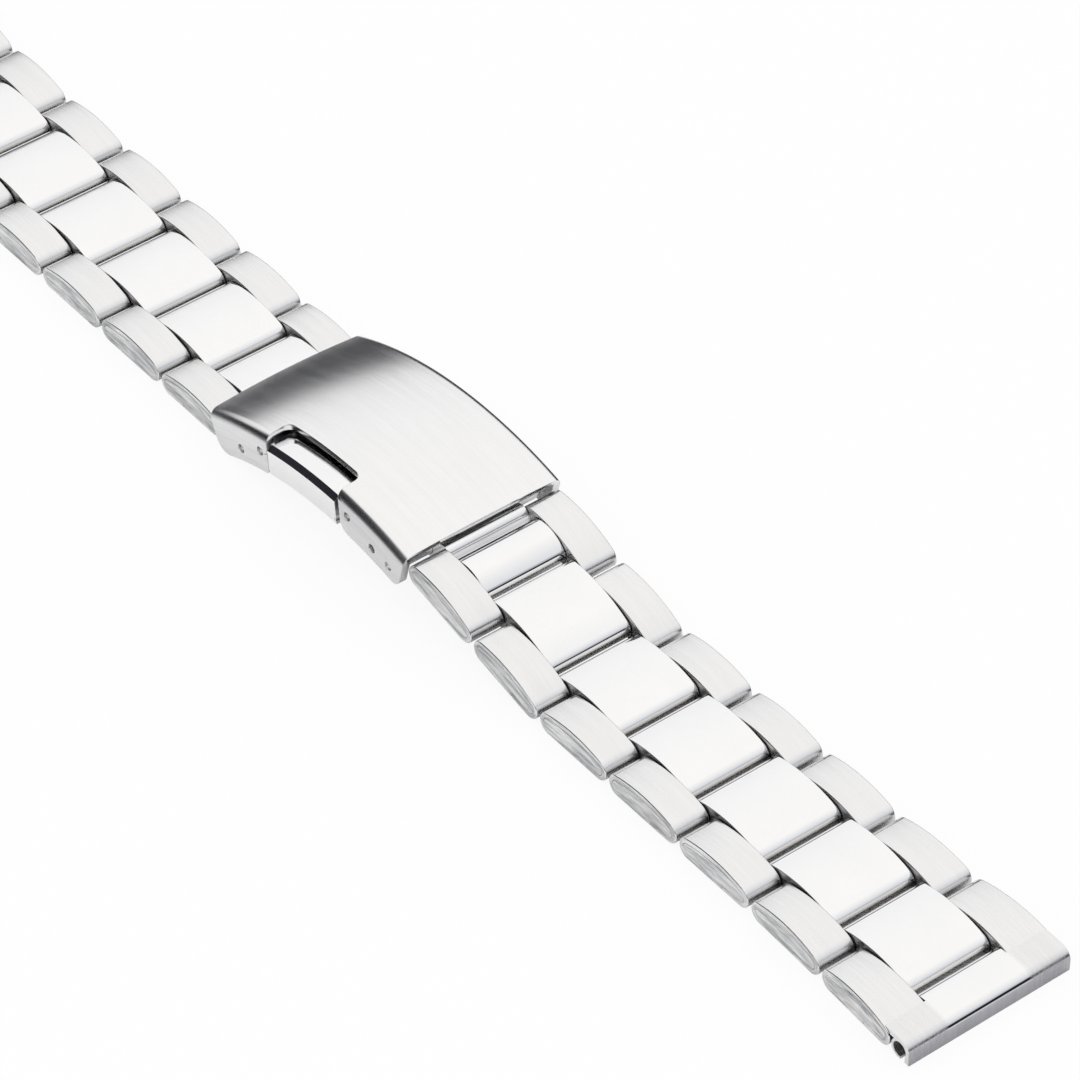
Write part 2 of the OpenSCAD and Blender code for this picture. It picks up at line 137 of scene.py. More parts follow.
def parts_of(tree, vector):
    """The X, Y and Z outputs of a vector."""
    node = tree.nodes.new("ShaderNodeSeparateXYZ")
    wire(tree, vector, node.inputs[0])
    return node.outputs


world = bpy.data.worlds.new("white_tent")
bpy.context.scene.world = world
world.use_nodes = True
tent = world.node_tree
tent.nodes.clear()
tent_direction = tent.nodes.new("ShaderNodeTexCoord").outputs["Generated"]
tent_wall = shades(tent, parts_of(tent, tent_direction)[2], [
    (0.0, 0.030, 0.031, 0.036),
    (0.19, 0.034, 0.035, 0.040),
    (0.235, 0.16, 0.16, 0.17),
    (0.275, 0.86, 0.86, 0.875),
    (0.32, 0.915, 0.915, 0.925),
    (0.50, 0.955, 0.955, 0.96),
    (0.72, 0.985, 0.98, 0.975),
    (0.90, 1.0, 0.99, 0.98),
])
tent_gap = shades(tent, facing(tent, tent_direction, TENT_OPENING), [
    (0.0, 1, 1, 1), (0.82, 1, 1, 1), (0.93, 0.03, 0.03, 0.035), (1.0, 0.02, 0.02, 0.025),
])
tent_fall = shades(tent, facing(tent, tent_direction, TENT_GREY_END), [
    (0.2, 1, 1, 1),
    (0.4, 0.955, 0.958, 0.965),
    (0.64, 0.89, 0.895, 0.905),
    (0.77, 0.835, 0.845, 0.865),
    (0.86, 0.765, 0.78, 0.81),
    (0.92, 0.69, 0.705, 0.74),
    (1.0, 0.4, 0.41, 0.44),
])
tent_tone = blend(tent, 1, blend(tent, 1, tent_wall, tent_gap, "MULTIPLY"), tent_fall, "MULTIPLY")
tent_mirrored = tent.nodes.new("ShaderNodeBackground")
wire(tent, tent_tone, tent_mirrored.inputs["Color"])
tent_plain = tent.nodes.new("ShaderNodeBackground")
tent_plain.inputs["Color"].default_value = (1, 1, 1, 1)
tent_mix = tent.nodes.new("ShaderNodeMixShader")
wire(tent, tent.nodes.new("ShaderNodeLightPath").outputs["Is Glossy Ray"], tent_mix.inputs[0])
wire(tent, tent_plain.outputs[0], tent_mix.inputs[1])
wire(tent, tent_mirrored.outputs[0], tent_mix.inputs[2])
wire(tent, tent_mix.outputs[0], tent.nodes.new("ShaderNodeOutputWorld").inputs[0])

# Table. A white sheet under the bracelet, pale enough to vanish into the
# background, with the bracelet's faint contact shadow left on it. In the steel
# only its middle near the bracelet shows white; further out its mirrored colour is painted dark, as painted
# shade.
TABLE_HALF = 0.6
LIT_HALF_LENGTH = 0.083
PER_DECIMETRE = 10.0
SHEET_TONE = (0.95, 0.95, 0.95)
SHEET_GLOW_SHARE = 0.9
table_mesh = bpy.data.meshes.new("table")
table_corners = [(x * TABLE_HALF, y * TABLE_HALF, 0) for x, y in ((-1, -1), (1, -1), (1, 1), (-1, 1))]
table_mesh.from_pydata(table_corners, [], [(0, 1, 2, 3)])
table = bpy.data.objects.new("table", table_mesh)
bpy.context.scene.collection.objects.link(table)
table_paint = bpy.data.materials.new("table_white")
table_paint.use_nodes = True
sheet = table_paint.node_tree
sheet.nodes.clear()
sheet_path = sheet.nodes.new("ShaderNodeLightPath")
sheet_x, sheet_y, _ = parts_of(sheet, sheet.nodes.new("ShaderNodeTexCoord").outputs["Object"])
past_end = sums(sheet, "SUBTRACT", sums(sheet, "ABSOLUTE", sheet_x), LIT_HALF_LENGTH)
past_end = sums(sheet, "MAXIMUM", past_end, 0.0)
aside = sums(sheet, "POWER", sheet_y, 2.0)
away = sums(sheet, "SQRT", sums(sheet, "MULTIPLY_ADD", past_end, past_end, aside))
# Seen in the steel, the sheet is painted darker with distance from the bracelet: painted shade.
sheet_mirrored = shades(sheet, sums(sheet, "MULTIPLY", away, PER_DECIMETRE), [
    (0.135, 1.0, 1.0, 1.0), (0.16, 0.75, 0.75, 0.755), (0.22, 0.12, 0.12, 0.125), (0.32, 0.03, 0.03, 0.035),
])
sheet_diffuse = sheet.nodes.new("ShaderNodeBsdfDiffuse")
sheet_tone = blend(sheet, sheet_path.outputs["Is Glossy Ray"], SHEET_TONE, sheet_mirrored)
wire(sheet, sheet_tone, sheet_diffuse.inputs["Color"])
sheet_glow = sheet.nodes.new("ShaderNodeEmission")
sheet_glow.inputs["Color"].default_value = (1, 1, 1, 1)
sheet_seen = sums(
    sheet, "MAXIMUM", sheet_path.outputs["Is Camera Ray"], sheet_path.outputs["Is Transmission Ray"])
sheet_mix = sheet.nodes.new("ShaderNodeMixShader")
wire(sheet, sums(sheet, "MULTIPLY", sheet_seen, SHEET_GLOW_SHARE), sheet_mix.inputs[0])
wire(sheet, sheet_diffuse.outputs[0], sheet_mix.inputs[1])
wire(sheet, sheet_glow.outputs[0], sheet_mix.inputs[2])
wire(sheet, sheet_mix.outputs[0], sheet.nodes.new("ShaderNodeOutputMaterial").inputs[0])
table_mesh.materials.append(table_paint)

# Centre links. Short lengths of steel sheet, rolled round both pins into a flat
# tube with an arched top and polished bright all over. The seam of the sheet
# shows as a slot in the underside and as a line round the core in the side faces.
MM = 0.001
PITCH, ROLL_R, LINK_H, LINK_LEN = 9.6, 1.15, 2.75, 9.2
SHEET_T, SEAM_W, SEAM_SUNK, SLOT_DEPTH = 0.5, 0.07, 0.12, 0.25
POLISH_ENDS, POLISH_FADES = math.radians(60), math.radians(12)
CENTRE_HALF, CENTRE_ROUNDING = 4.45, 0.07
CENTRE_FIRST = -ROLL_R
ROW_SLOPE = math.radians(12.5)
ROWS = 7


def outline(first, last, inset):
    """Outline of a rolled link in X and Z, its normals and what its points are marked with.
    Top and bottom are paired from left to right: a normal turns round each roll, on an arc
    of radius roll less inset, and over the arch, on one of radius arch less inset."""
    middle, reach = (first + last) / 2, (last - first) / 2 - ROLL_R
    arch_r = (reach ** 2 + (LINK_H - ROLL_R) ** 2 - ROLL_R ** 2) / (2 * (LINK_H - 2 * ROLL_R))
    lean = math.asin(reach / (arch_r - ROLL_R))
    rolled, arched = 15, 10
    turn_top = np.concatenate([
        np.linspace(-math.pi / 2, -lean, rolled), np.linspace(-lean, lean, arched + 2)[1:-1],
        np.linspace(lean, math.pi / 2, rolled),
    ])
    side = np.where(turn_top < -lean + 1e-9, -1, np.where(turn_top > lean - 1e-9, 1, 0))
    hub_x = middle + side * reach
    hub_z = np.where(side == 0, LINK_H - arch_r, ROLL_R)
    radius = np.where(side == 0, arch_r, ROLL_R) - inset
    normal_top = np.stack([np.sin(turn_top), np.cos(turn_top)], 1)
    top = np.stack([hub_x, hub_z], 1) + radius[:, None] * normal_top
    slot = middle + ROLL_R
    before_slot = [-2.6, -1.6, -0.6, 0.4, 0.75]
    at_slot = ROLL_R + SEAM_W * np.array([-1, 0, 1])
    past_slot = np.linspace(at_slot[-1], reach, 4)[1:3]
    flat_x = middle + np.clip(np.concatenate([before_slot, at_slot, past_slot]), -reach, reach)
    turn_low = np.concatenate([
        np.linspace(-math.pi / 2, -math.pi, rolled), np.full(arched, math.pi),
        np.linspace(math.pi, math.pi / 2, rolled),
    ])
    normal_low = np.stack([np.sin(turn_low), np.cos(turn_low)], 1)
    low = np.stack([hub_x, np.full_like(hub_x, ROLL_R)], 1) + (ROLL_R - inset) * normal_low
    in_slot = np.abs(flat_x - slot) < SEAM_W / 2
    low[rolled:rolled + arched, 0] = flat_x
    low[rolled:rolled + arched, 1] = np.where(in_slot, max(inset, SLOT_DEPTH), inset)
    slotted = np.zeros(len(low))
    slotted[rolled:rolled + arched] = in_slot
    points = np.concatenate([top, low[-2:0:-1]])
    normals = np.concatenate([normal_top, normal_low[-2:0:-1]])
    grain_z = np.concatenate([
        [LINK_H / 2], np.full(len(top) - 2, LINK_H - inset), [LINK_H / 2], np.full(len(low) - 2, inset),
    ])
    slot_mark = np.concatenate([np.zeros(len(top)), slotted[-2:0:-1]])
    turned = np.abs(np.concatenate([turn_top, turn_low[-2:0:-1]]))
    dull = np.clip((turned - POLISH_ENDS) / POLISH_FADES + 1, 0, 1)
    seam_mark = np.where((points[:, 1] < ROLL_R) & (points[:, 0] < slot), 0.0, 1.0)
    return points, normals, grain_z, slot_mark, seam_mark, dull


def walls_of(rings, around):
    """Four-sided faces between neighbouring rings of points, each ring closed."""
    here = np.arange((rings - 1) * around).reshape(rings - 1, around)
    beside = np.roll(here, -1, axis=1)
    return np.stack([here, beside, beside + around, here + around], -1).reshape(-1, 4)


def link_shell(first, last, low_y, high_y, rounding):
    """Closed shell of one link. Copies of the outline are carried across the band from one side
    face to the other: round the core, into and out of the seam, over the rounded edge, along the
    skin and back. low_y and high_y give the side faces as functions of X."""
    swing = np.radians([0, 30, 60, 90])
    seam_mid = SHEET_T + SEAM_W / 2
    insets = np.concatenate([[SHEET_T + SEAM_W, seam_mid, SHEET_T], rounding * (1 - np.sin(swing))])
    sinks = np.concatenate([[0, SEAM_SUNK, 0], rounding * (1 - np.cos(swing))])
    turns = np.concatenate([[0, 0, 0], swing])
    face = np.array([1, 1, 1, 1, 0.55, 0.2, 0])
    worn = np.array([0, 0, 0, 0.2, 1, 1, 0.3])
    rings, marks = [], []
    for sign, face_y in ((-1, low_y), (1, high_y)):
        order = range(7) if sign < 0 else range(6, -1, -1)
        for k in order:
            flat, normal, grain_z, slot_mark, seam_mark, dull = outline(first, last, insets[k])
            in_seam = seam_mark if k == 1 else np.zeros(len(flat))
            sink = sinks[k] * (in_seam if k == 1 else 1)
            y = face_y(flat[:, 0]) - sign * sink
            rings.append(np.concatenate([
                flat[:, :1], y[:, None], flat[:, 1:],
                math.sin(turns[k]) * normal[:, :1], np.full((len(flat), 1), sign * math.cos(turns[k])),
                math.sin(turns[k]) * normal[:, 1:],
            ], 1))
            marks.append(np.stack([
                flat[:, 0], y, grain_z, np.full(len(flat), face[k]), np.full(len(flat), worn[k]),
                np.maximum(in_seam, slot_mark * (k > 2)), dull * (1 - face[k]),
            ], 1))
    rings, marks = np.stack(rings), np.stack(marks)
    count, around = rings.shape[:2]
    top = np.arange(around // 2 + 1)
    low = (around - top) % around
    near = np.stack([top[:-1], low[:-1], low[1:], top[1:]], 1)
    far = near[:, ::-1] + (count - 1) * around
    faces = np.concatenate([walls_of(count, around), near, far])
    return rings.reshape(-1, 6), marks.reshape(-1, 7), faces


def put_in_row(shell, half, row, mirror_y=False, seed=0.0):
    """Moves a shell from the frame of its row to its place on the table, in millimetres. The right
    rows 1 and 2 slope down, and the left half is the mirror image of the right one. Each link's
    grain starts elsewhere in the pattern, shifted along X by its row, its half and the seed."""
    place, marks, faces = shell
    place, marks = place.copy(), marks.copy()
    if mirror_y:
        place[:, [1, 4]] *= -1
        marks[:, 1] *= -1
    outward = 1 if half == "right" else -1
    slope = ROW_SLOPE if half == "right" and row <= 2 else 0.0
    by_clasp = (half, row) == ("right", 1)
    at = np.array(hinge_at[f"{half}_row_{2 if by_clasp else row}_hinge"]) / MM
    if by_clasp:
        at -= PITCH * np.array([math.cos(ROW_SLOPE), 0, -math.sin(ROW_SLOPE)])
    for column, lift in ((0, ROLL_R), (3, 0)):
        x, z = place[:, column].copy(), place[:, column + 2] - lift
        place[:, column] = outward * (x * math.cos(slope) + z * math.sin(slope))
        place[:, column + 2] = -x * math.sin(slope) + z * math.cos(slope)
    place[:, [0, 2]] += at[[0, 2]]
    marks[:, 0] += 40 * row + 350 * (half == "left") + seed
    if outward * (-1 if mirror_y else 1) < 0:
        faces = faces[:, ::-1]
    return place, marks, faces


def steel_piece(name, shells, paint, body, slot, *replaced):
    """One object from closed shells of (place and normal, marks, faces) in millimetres, with the
    marks kept as attributes: where the grain lies, how far a point is on a side face, how worn its
    edge is, whether it lies in a seam, and how far down a roll, where no polishing wheel reaches."""
    sizes = np.cumsum([0] + [len(s[0]) for s in shells])
    place = np.concatenate([s[0] for s in shells])
    marks = np.concatenate([s[1] for s in shells])
    faces = np.concatenate([s[2] + start for s, start in zip(shells, sizes)])
    keep = np.array([faces[:, k] != faces[:, (k + 1) % 4] for k in range(4)]).T
    corners = faces[keep]
    lengths = keep.sum(1)
    mesh = bpy.data.meshes.new(name)
    mesh.vertices.add(len(place))
    mesh.vertices.foreach_set("co", (place[:, :3] * MM).astype(np.float32).ravel())
    mesh.loops.add(len(corners))
    mesh.loops.foreach_set("vertex_index", corners.astype(np.int32))
    mesh.polygons.add(len(lengths))
    mesh.polygons.foreach_set("loop_start", (np.cumsum(lengths) - lengths).astype(np.int32))
    mesh.polygons.foreach_set("use_smooth", np.ones(len(lengths), dtype=bool))
    mesh.update(calc_edges=True)
    mesh.validate()
    grain = mesh.attributes.new("grain", "FLOAT_VECTOR", "POINT")
    grain.data.foreach_set("vector", (marks[:, :3] * MM).astype(np.float32).ravel())
    for column, label in ((3, "side_face"), (4, "worn_edge"), (5, "seam"), (6, "unpolished")):
        values = mesh.attributes.new(label, "FLOAT", "POINT").data
        values.foreach_set("value", marks[:, column].astype(np.float32))
    normals = place[:, 3:] / np.linalg.norm(place[:, 3:], axis=1)[:, None]
    mesh.normals_split_custom_set_from_vertices(normals.tolist())
    mesh.materials.append(paint)
    piece = bpy.data.objects.new(name, mesh)
    bpy.context.scene.collection.objects.link(piece)
    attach(piece, body)
    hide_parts(*replaced)


def effect(name, inputs, outputs):
    """An empty shader group with named (socket, kind, default) inputs and (socket, kind) outputs."""
    tree = bpy.data.node_groups.new(name, "ShaderNodeTree")
    for socket, kind, default in inputs:
        made = tree.interface.new_socket(socket, in_out="INPUT", socket_type=kind)
        made.default_value = default
    for socket, kind in outputs:
        tree.interface.new_socket(socket, in_out="OUTPUT", socket_type=kind)
    return tree, tree.nodes.new("NodeGroupInput"), tree.nodes.new("NodeGroupOutput")


def noise(tree, place, scale, detail, roughness=0.5, distortion=0.0):
    """Noise Texture at place; gives its factor."""
    node = tree.nodes.new("ShaderNodeTexNoise")
    node.inputs["Scale"].default_value = scale
    node.inputs["Detail"].default_value = detail
    node.inputs["Roughness"].default_value = roughness
    node.inputs["Distortion"].default_value = distortion
    wire(tree, place, node.inputs["Vector"])
    return node.outputs["Fac"]


def stretched(tree, place, by):
    """The place multiplied by a vector of scales per metre."""
    node = tree.nodes.new("ShaderNodeVectorMath")
    node.operation = "MULTIPLY"
    wire(tree, place, node.inputs[0])
    feed(tree, node.inputs[1], by)
    return node.outputs[0]


def spread(tree, value, low, high, to_low, to_high):
    """Maps value from low..high to to_low..to_high, held at the ends."""
    node = tree.nodes.new("ShaderNodeMapRange")
    for socket, number in zip(node.inputs, (value, low, high, to_low, to_high)):
        feed(tree, socket, number)
    return node.outputs[0]


# Hairlines and smudges that handling leaves on bright steel
handling, given, kept = effect(
    "handling_marks", [("Place", "NodeSocketVector", (0, 0, 0))],
    [("Hairline", "NodeSocketFloat"), ("Smudge", "NodeSocketFloat")])
lines = []
for turn, along, aside in ((0.35, 260, 2600), (-0.6, 300, 3100), (1.25, 340, 3500)):
    turned = handling.nodes.new("ShaderNodeVectorRotate")
    turned.rotation_type = "Z_AXIS"
    turned.inputs["Angle"].default_value = turn
    wire(handling, given.outputs["Place"], turned.inputs["Vector"])
    field = noise(handling, stretched(handling, turned.outputs[0], (along, aside, 900)), 1, 1)
    near_half = sums(handling, "ABSOLUTE", sums(handling, "SUBTRACT", field, 0.5))
    here_only = noise(handling, stretched(handling, turned.outputs[0], (500, 500, 500)), 1, 1)
    line = spread(handling, near_half, 0.0, 0.012, 1.0, 0.0)
    lines.append(sums(handling, "MULTIPLY", line, spread(handling, here_only, 0.5, 0.62, 0.0, 1.0)))
hairline = sums(handling, "MAXIMUM", sums(handling, "MAXIMUM", lines[0], lines[1]), lines[2])
wire(handling, hairline, kept.inputs["Hairline"])
smudge = noise(handling, given.outputs["Place"], 230, 3, 0.6)
wire(handling, spread(handling, smudge, 0.35, 0.65, 0.0, 1.0), kept.inputs["Smudge"])


def begin_paint(name):
    """An empty steel material; gives it, its nodes and its metal shader."""
    paint = bpy.data.materials.new(name)
    paint.use_nodes = True
    tree = paint.node_tree
    tree.nodes.clear()
    metal = tree.nodes.new("ShaderNodeBsdfPrincipled")
    metal.inputs["Metallic"].default_value = 1.0
    wire(tree, metal.outputs[0], tree.nodes.new("ShaderNodeOutputMaterial").inputs[0])
    return paint, tree, metal


def mark(tree, name):
    """The mesh attribute of this name: a vector for the grain, else a value."""
    node = tree.nodes.new("ShaderNodeAttribute")
    node.attribute_name = name
    return node.outputs["Vector" if name == "grain" else "Fac"]


def place_on_object(tree):
    """Object coordinates, for the nodes that come from the solid model."""
    return tree.nodes.new("ShaderNodeTexCoord").outputs["Object"]


def placed(tree, group, **inputs):
    """Puts a shader group into a material and feeds its inputs; gives the node."""
    node = tree.nodes.new("ShaderNodeGroup")
    node.node_tree = group
    for name, value in inputs.items():
        feed(tree, node.inputs[name], value)
    return node


def relief(tree, height, depth):
    """A Bump node whose full height is depth metres."""
    node = tree.nodes.new("ShaderNodeBump")
    node.inputs["Strength"].default_value = 1
    node.inputs["Distance"].default_value = depth
    feed(tree, node.inputs["Height"], height)
    return node.outputs[0]


POLISHED = (0.955, 0.955, 0.955)


def polished_paint(name, rolled):
    """Bright polish: a mirror with hairlines and smudges. Rolled links also have duller cut faces at their
    sides, painted darker partly as painted shade, duller ends where no wheel reaches, and seams painted
    near black as painted shade."""
    paint, tree, metal = begin_paint(name)
    place = mark(tree, "grain") if rolled else place_on_object(tree)
    marks = placed(tree, handling, Place=place)
    hairline, smudge = marks.outputs["Hairline"], marks.outputs["Smudge"]
    wash = blend(tree, smudge, POLISHED, tuple(0.985 * c for c in POLISHED))
    tone = blend(tree, sums(tree, "MULTIPLY", hairline, 0.2), wash, tuple(0.85 * c for c in POLISHED))
    rough = spread(tree, smudge, 0, 1, 0.045, 0.075)
    rough = sums(tree, "MULTIPLY_ADD", hairline, 0.08, rough)
    if rolled:
        cut = noise(tree, stretched(tree, place, (300, 60, 2600)), 1, 3)
        cut = spread(tree, cut, 0.35, 0.65, 0.0, 1.0)
        cut_face_and_shade_tone = blend(tree, cut, (0.30, 0.30, 0.31), (0.46, 0.46, 0.465))
        # The cut side faces take a darker tone, partly their own cut finish and partly painted shade; the
        # seams and the underside slot are painted near black, as painted shade in the narrow groove.
        for label, its_tone, its_rough in (
                ("side_face", cut_face_and_shade_tone, 0.26),
                ("unpolished", (0.76, 0.755, 0.75), 0.18),
                ("seam", (0.05, 0.045, 0.04), 0.5)):
            tone = blend(tree, mark(tree, label), tone, its_tone)
            rough = sums(tree, "MULTIPLY_ADD", mark(tree, label), its_rough, rough)
    wire(tree, tone, metal.inputs["Base Color"])
    wire(tree, rough, metal.inputs["Roughness"])
    wire(tree, relief(tree, hairline, -6e-7), metal.inputs["Normal"])
    return paint


polished_link = polished_paint("polished_link_steel", True)
for half in ("right", "left"):
    for row in range(1, ROWS + 1):
        if (half, row) == ("right", 1):
            continue
        shell = link_shell(
            CENTRE_FIRST, CENTRE_FIRST + LINK_LEN, lambda x: np.full_like(x, -CENTRE_HALF),
            lambda x: np.full_like(x, CENTRE_HALF), CENTRE_ROUNDING)
        steel_piece(f"{half}_centre_{row}", [put_in_row(shell, half, row)], polished_link,
                    f"{half}_row_{row}", "polished_links", f"{half}_centre_link_{row}")


def dress(paint, *names):
    """Gives CAD nodes this material in place of their own."""
    for name in names:
        nodes[name].data.materials.clear()
        nodes[name].data.materials.append(paint)


# First centre link. The link next to the clasp is short, and its sheet runs on
# under the cover as a tongue that is rolled into a tube for the spring bar.
polished_solid = polished_paint("polished_solid_steel", False)
dress(polished_solid, "right_centre_link_1")

# Outer links. The same rolled sheet, narrower, on both sides of the centre link,
# with a lengthwise satin brush on top and the wire-brushed cut edge at the side.
# Over the last two rows their side faces spread towards the case.
OUTER_FIRST = PITCH + ROLL_R - LINK_LEN
LINK_PLAY = 0.08
OUTER_INNER_Y = CENTRE_HALF + LINK_PLAY
BAND_W, FLARE_W, FLARE_POWER = 16.5, 18.1, 1.4
FLARE_FROM = (ROWS - 2) * PITCH + OUTER_FIRST
FLARE_TO = ROWS * PITCH + ROLL_R
OUTER_ROUNDING = 0.13

brushing, given, kept = effect(
    "lengthwise_brushing",
    [("Place", "NodeSocketVector", (0, 0, 0)), ("Stretch", "NodeSocketVector", (260, 4200, 4200))],
    [("Streak", "NodeSocketFloat"), ("Broad", "NodeSocketFloat"), ("Cloud", "NodeSocketFloat")])
combed = stretched(brushing, given.outputs["Place"], given.outputs["Stretch"])
fine = noise(brushing, combed, 1.0, 4, 0.7)
broad = noise(brushing, stretched(brushing, combed, (0.5, 0.23, 0.23)), 1.0, 2, 0.5)
wire(brushing, spread(brushing, fine, 0.3, 0.7, 0.0, 1.0), kept.inputs["Streak"])
wire(brushing, spread(brushing, broad, 0.32, 0.68, 0.0, 1.0), kept.inputs["Broad"])
cloud = noise(brushing, given.outputs["Place"], 150, 3, 0.55)
wire(brushing, spread(brushing, cloud, 0.35, 0.65, 0.0, 1.0), kept.inputs["Cloud"])


def brushed_skin(tree, place, stretch, light, dark, rough_low, rough_high):
    """Colour, roughness and height of a brushed face from the brushing group."""
    brush = placed(tree, brushing, Place=place, Stretch=stretch)
    broad = sums(tree, "MULTIPLY", brush.outputs["Broad"], 0.4)
    streak = sums(tree, "MULTIPLY_ADD", brush.outputs["Streak"], 0.6, broad)
    cloud = sums(tree, "MULTIPLY", brush.outputs["Cloud"], 0.25)
    tone = blend(tree, cloud, blend(tree, streak, dark, light), tuple(0.94 * c for c in light))
    rough = spread(tree, streak, 0.15, 0.85, rough_high, rough_low)
    return tone, rough, streak


outer_paint, tree, metal = begin_paint("brushed_outer_steel")
grain = mark(tree, "grain")
top_tone, top_rough, top_streak = brushed_skin(
    tree, grain, (200, 4200, 60), (0.91, 0.905, 0.90), (0.83, 0.83, 0.83), 0.24, 0.31)
edge_lines = noise(tree, stretched(tree, grain, (300, 60, 2700)), 1, 3, 0.7, 0.3)
edge_streak = spread(tree, edge_lines, 0.34, 0.62, 0.0, 1.0)
# The side faces are painted darker than the top: partly the wire-brushed cut finish, partly painted shade.
side_tone_with_shade = blend(tree, edge_streak, (0.40, 0.405, 0.415), (0.90, 0.90, 0.905))
edge_rough = spread(tree, edge_streak, 0, 1, 0.42, 0.30)
side_face = mark(tree, "side_face")
from_middle = sums(tree, "ABSOLUTE", parts_of(tree, grain)[1])
# The inner side faces, beside the centre link, are painted almost half way to black: painted shade in the
# narrow gap between the links.
gap_shade = spread(tree, from_middle, 5.5 * MM, 6.5 * MM, 0.45, 0.0)
side_tone_with_shade = blend(tree, gap_shade, side_tone_with_shade, (0.06, 0.06, 0.062))
tone = blend(tree, side_face, top_tone, side_tone_with_shade)
tone = blend(tree, mark(tree, "unpolished"), tone, (0.68, 0.68, 0.68))
tone = blend(tree, sums(tree, "MULTIPLY", mark(tree, "worn_edge"), 0.5), tone, (0.86, 0.86, 0.86))
# The seams are painted near black: painted shade in the narrow groove.
tone = blend(tree, mark(tree, "seam"), tone, (0.10, 0.095, 0.09))
wire(tree, tone, metal.inputs["Base Color"])
rough = sums(tree, "MULTIPLY_ADD", side_face, sums(tree, "SUBTRACT", edge_rough, top_rough), top_rough)
wire(tree, sums(tree, "MULTIPLY_ADD", mark(tree, "worn_edge"), -0.08, rough), metal.inputs["Roughness"])
height = sums(tree, "MULTIPLY_ADD", side_face, sums(tree, "SUBTRACT", edge_streak, top_streak), top_streak)
wire(tree, relief(tree, height, 5e-6), metal.inputs["Normal"])


def flared(row):
    """Half of the band's width at X in this row: it grows as a power of the distance past row 5."""
    def half_width(x):
        share = np.clip(((row - 1) * PITCH + x - FLARE_FROM) / (FLARE_TO - FLARE_FROM), 0, 1)
        return BAND_W / 2 + (FLARE_W - BAND_W) / 2 * share ** FLARE_POWER
    return half_width


for half in ("right", "left"):
    for row in range(1, ROWS + 1):
        shell = link_shell(
            OUTER_FIRST, OUTER_FIRST + LINK_LEN, lambda x: np.full_like(x, OUTER_INNER_Y),
            flared(row), OUTER_ROUNDING)
        pair = [put_in_row(shell, half, row, False, 11), put_in_row(shell, half, row, True, 23)]
        steel_piece(f"{half}_outers_{row}", pair, outer_paint, f"{half}_row_{row}", "brushed_links",
                    f"{half}_outer_links_{row}")


def brushed_paint(name, light, dark, stretch, rough_low, rough_high, depth):
    """Brushed steel on a node of the solid model, with its grain along the band."""
    paint, tree, metal = begin_paint(name)
    tone, rough, streak = brushed_skin(
        tree, place_on_object(tree), stretch, light, dark, rough_low, rough_high)
    wire(tree, tone, metal.inputs["Base Color"])
    wire(tree, rough, metal.inputs["Roughness"])
    wire(tree, relief(tree, streak, depth), metal.inputs["Normal"])
    return paint


# Pins of the rows. Drawn steel wire, cut to length and pressed into the outer
# links a hair below their side faces.
pin_paint = brushed_paint(
    "drawn_pin_steel", (0.78, 0.78, 0.79), (0.6, 0.6, 0.61), (3000, 300, 3000), 0.22, 0.35, 2e-6)
dress(pin_paint, *[f"{half}_pins_{row}" for half in ("right", "left") for row in range(1, ROWS + 1)])

# End pieces. Folded sheet with a front lip and a rolled tube for the bar of the
# case: the tongue between the last outer links is polished, the wings are brushed,
# and the front of the lip is painted a darker grey, as painted shade where it mirrors the shaded table.
LIP_FROM, LIP_TO = 83.12, 83.24
TONGUE_HALF, WING_FROM = CENTRE_HALF - 0.1, CENTRE_HALF + 0.3
wing_paint, tree, metal = begin_paint("end_piece_steel")
place = place_on_object(tree)
tone, rough, streak = brushed_skin(
    tree, place, (200, 4200, 200), (0.90, 0.895, 0.89), (0.80, 0.80, 0.80), 0.20, 0.34)
along_band, across_band, _ = parts_of(tree, place)
from_middle = sums(tree, "ABSOLUTE", across_band)
tongue = spread(tree, from_middle, TONGUE_HALF * MM, WING_FROM * MM, 1.0, 0.0)
marks = placed(tree, handling, Place=place)
bright = blend(tree, marks.outputs["Smudge"], POLISHED, (0.94, 0.94, 0.94))
lip = spread(tree, sums(tree, "ABSOLUTE", along_band), LIP_FROM * MM, LIP_TO * MM, 0.0, 1.0)
# The front of the lip is painted a darker grey: painted shade.
lip_shade = blend(tree, streak, (0.36, 0.355, 0.385), (0.46, 0.455, 0.48))
wire(tree, blend(tree, lip, blend(tree, tongue, tone, bright), lip_shade), metal.inputs["Base Color"])
to_polish = sums(tree, "SUBTRACT", 0.06, rough)
wire(tree, sums(tree, "MULTIPLY_ADD", tongue, to_polish, rough), metal.inputs["Roughness"])
brushed_only = sums(tree, "MULTIPLY", streak, sums(tree, "SUBTRACT", 1.0, tongue))
wire(tree, relief(tree, brushed_only, 6e-6), metal.inputs["Normal"])
dress(wing_paint, "right_end_piece", "left_end_piece")

# Folding blades. Two arched strips of sheet with rolled knuckles, satin outside,
# that fold flat under the cover on the fold pin; the short one carries the catch.
blade_paint = brushed_paint(
    "satin_blade_steel", (0.86, 0.86, 0.86), (0.74, 0.74, 0.745), (260, 3600, 260), 0.24, 0.36, 5e-6)
dress(blade_paint, "long_blade", "short_blade")
dress(pin_paint, "blade_fold_pin", "left_link_pin")

# Spring bar of the clasp. A turned sleeve with a wound spring inside that pushes
# two stepped tips into the holes of the flanges.
sleeve_paint = brushed_paint(
    "turned_sleeve_steel", (0.80, 0.80, 0.81), (0.66, 0.66, 0.67), (2600, 300, 2600), 0.2, 0.32, 2e-6)
wire_paint = brushed_paint(
    "spring_wire_steel", (0.62, 0.61, 0.60), (0.42, 0.41, 0.40), (1500, 1500, 1500), 0.25, 0.4, 1e-6)
dress(sleeve_paint, "spring_bar_sleeve", "spring_bar_tip_near", "spring_bar_tip_far")
dress(wire_paint, "spring_bar_spring")

